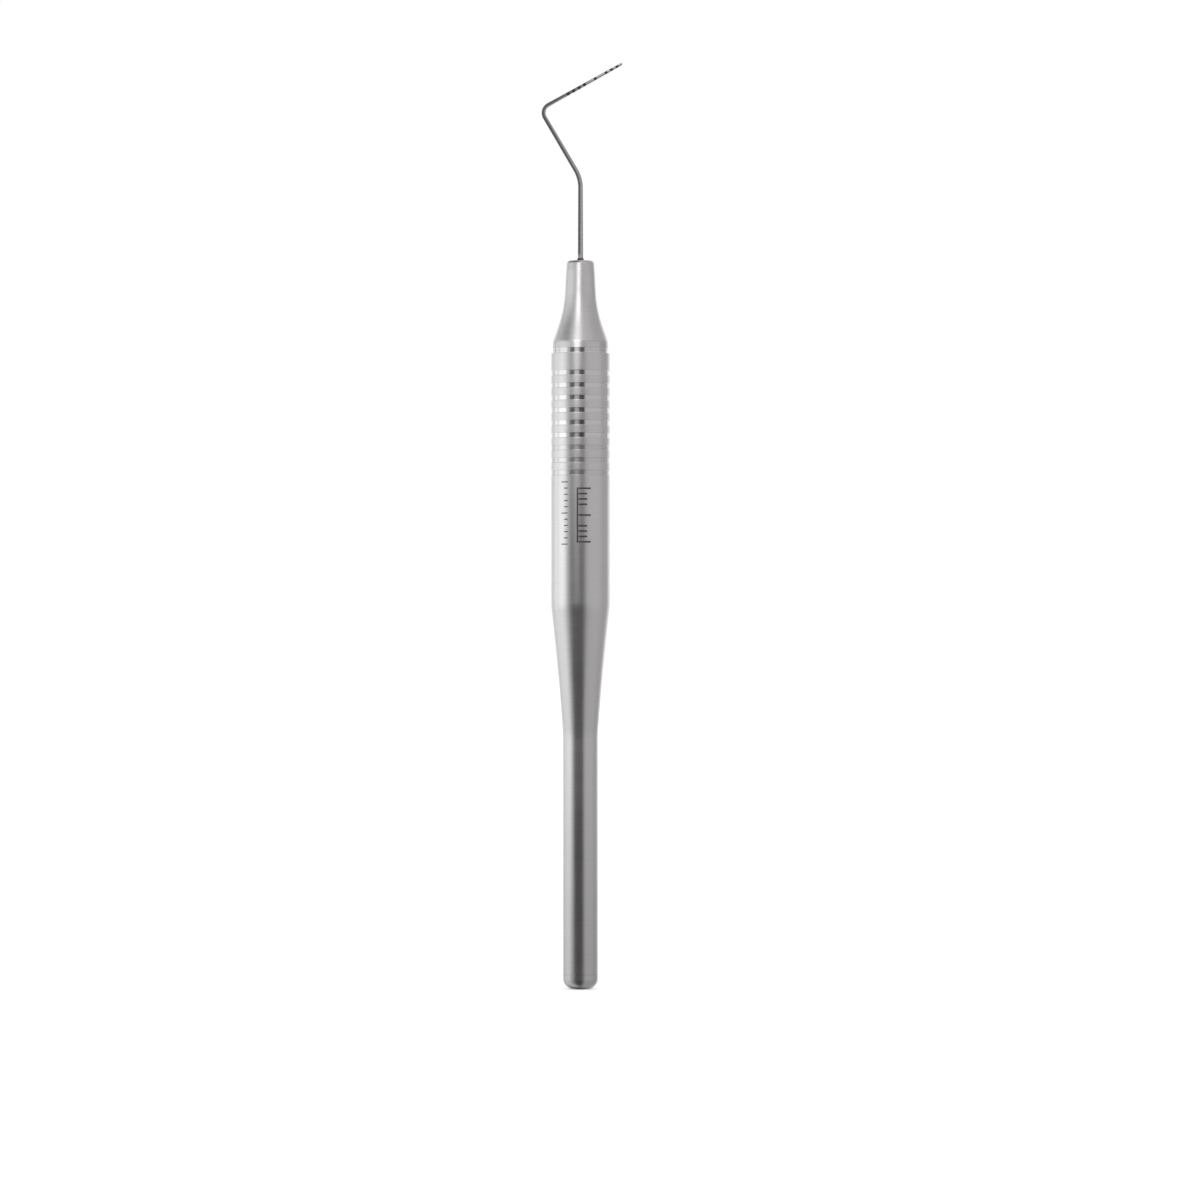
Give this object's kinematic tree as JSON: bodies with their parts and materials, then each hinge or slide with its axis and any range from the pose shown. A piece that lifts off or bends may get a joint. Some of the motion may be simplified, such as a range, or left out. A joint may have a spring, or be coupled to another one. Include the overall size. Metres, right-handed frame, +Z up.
{
  "type": "periodontal probe",
  "caption": "Slim round hand probe with a hooked, finely graduated wire end, a flared nose cone and a grooved satin steel handle that tapers to a thin rounded tail.",
  "frame": {"origin": "centre of the flat disc at the end of the tail", "axes": "+Z up the handle's axis towards the working end; the wire bends in the XZ plane, its elbow towards -X and its tip towards +X"},
  "size_m": [0.0131, 0.0094, 0.1496],
  "materials": {
    "satin_steel": "satin, turned round the axis",
    "probe_steel": "fine ground, drawn along the wire",
    "black_mark_fill": "matt black fill",
    "braze": "dull grey braze"
  },
  "bodies": {
    "root": {"working_end": "probe_steel", "depth_mark_1mm": "black_mark_fill", "depth_mark_2mm": "black_mark_fill", "depth_mark_3mm": "black_mark_fill", "depth_mark_5mm": "black_mark_fill", "depth_mark_7mm": "black_mark_fill", "depth_mark_8mm": "black_mark_fill", "depth_mark_9mm": "black_mark_fill", "depth_mark_10mm": "black_mark_fill", "shank_collar": "braze", "nose_cone": "satin_steel", "handle_tube": "satin_steel", "tail_plug": "satin_steel"}
  },
  "joints": []
}
